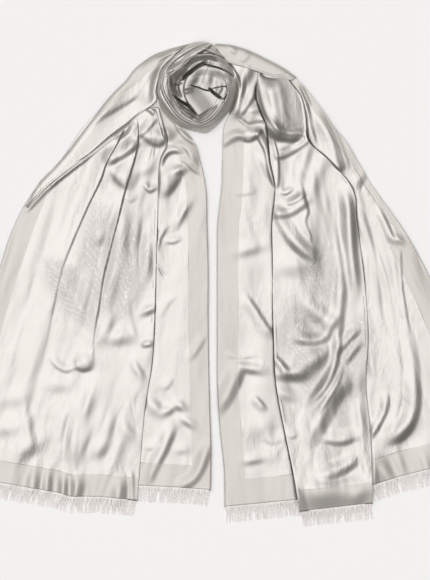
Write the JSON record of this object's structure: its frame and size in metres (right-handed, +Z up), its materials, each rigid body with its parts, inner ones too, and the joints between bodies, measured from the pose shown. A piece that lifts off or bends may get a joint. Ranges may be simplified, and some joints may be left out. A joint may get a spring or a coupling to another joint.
{
  "type": "evening stole",
  "caption": "Satin evening stole with a matt woven border and fringed hems, laid flat with one closed turn at the neck and both ends spread in soft pleats",
  "frame": {"origin": "middle of the underside of the laid-out stole, on the surface it lies on", "axes": "+X to the wearer's left end as seen from above, +Y from the hems to the neck coil, +Z up off the surface"},
  "size_m": [0.9464, 0.8206, 0.027],
  "materials": {
    "satin": "glossy satin weave with a faint tonal jacquard",
    "border": "matt ribbed weave",
    "thread": "loose matt yarn"
  },
  "bodies": {
    "root": {"left_inner_panel": "satin", "left_outer_panel": "satin", "right_inner_panel": "satin", "right_middle_panel": "satin", "right_outer_panel": "satin", "neck_inner_wrap": "satin", "neck_crown": "satin", "neck_hidden_layers": "satin", "left_shoulder_border": "border", "right_shoulder_border": "border", "neck_outer_wrap": "border", "left_inner_fringe": "thread", "left_outer_fringe": "thread", "right_inner_fringe": "thread", "right_middle_fringe": "thread", "right_outer_fringe": "thread"}
  },
  "joints": []
}
